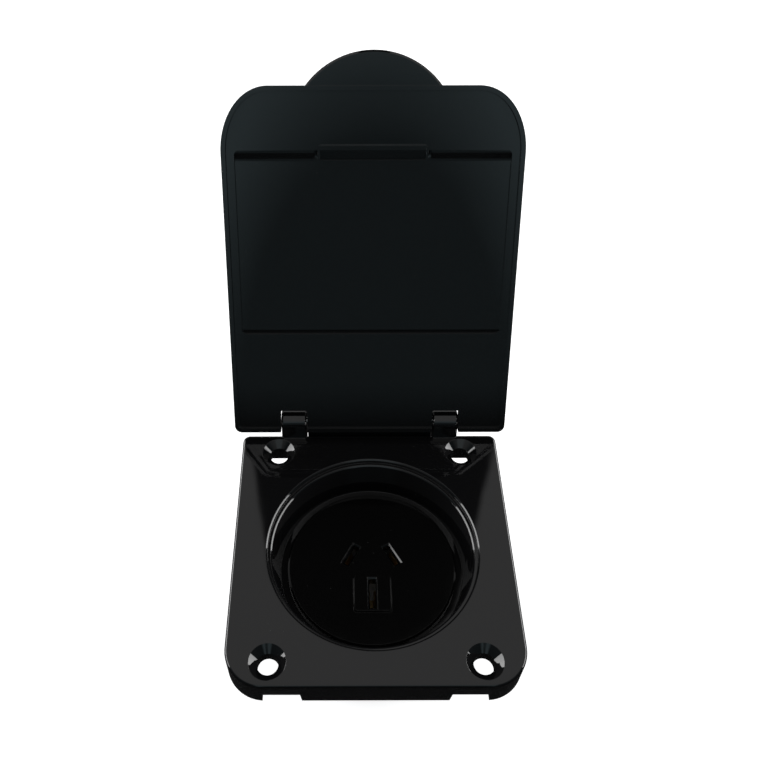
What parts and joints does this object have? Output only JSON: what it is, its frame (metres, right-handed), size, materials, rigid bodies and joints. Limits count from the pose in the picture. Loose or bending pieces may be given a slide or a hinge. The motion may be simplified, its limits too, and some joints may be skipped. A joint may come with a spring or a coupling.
{
  "type": "caravan power outlet",
  "caption": "Flush-mounted flat-pin socket outlet for a caravan wall, with a round recess, a skirted flange and a hinged weather lid.",
  "frame": {"origin": "centre of the round recess, where a plug goes in, on the flange's front face", "axes": "+Z out of the wall, +X along the hinge, +Y towards the hinge"},
  "size_m": [0.095, 0.1498, 0.1646],
  "materials": {
    "gloss_black": "moulded gloss",
    "gloss_black_lid": "moulded gloss",
    "gloss_black_insert": "moulded gloss",
    "matte_black": "fine spark-eroded texture",
    "insulator": "moulded satin",
    "brass": "rolled and turned",
    "steel": "zinc plated",
    "rubber": "moulded",
    "foam_rubber": "closed-cell foam"
  },
  "bodies": {
    "base": {"base_flange": "gloss_black", "hinge_pin": "steel", "panel_gasket": "foam_rubber", "socket_insert": "gloss_black_insert", "insert_seal": "rubber", "insert_screws": "steel", "contact_active": "brass", "contact_neutral": "brass", "contact_earth": "brass", "contact_carrier": "insulator", "carrier_screws": "steel", "terminal_active": "brass", "terminal_neutral": "brass", "terminal_earth": "brass", "terminal_screws": "steel", "rear_cover": "matte_black", "cover_screws": "steel", "cable_grommet": "rubber", "cord_clamp": "matte_black", "clamp_screws": "steel"},
    "lid": {"lid": "gloss_black_lid"}
  },
  "joints": [
    {"name": "lid_hinge", "type": "hinge", "parent": "base", "child": "lid", "pos_m": [0, 0.0486, 0.0039], "axis": [1, 0, 0], "range_deg": [0, 117.8]}
  ]
}
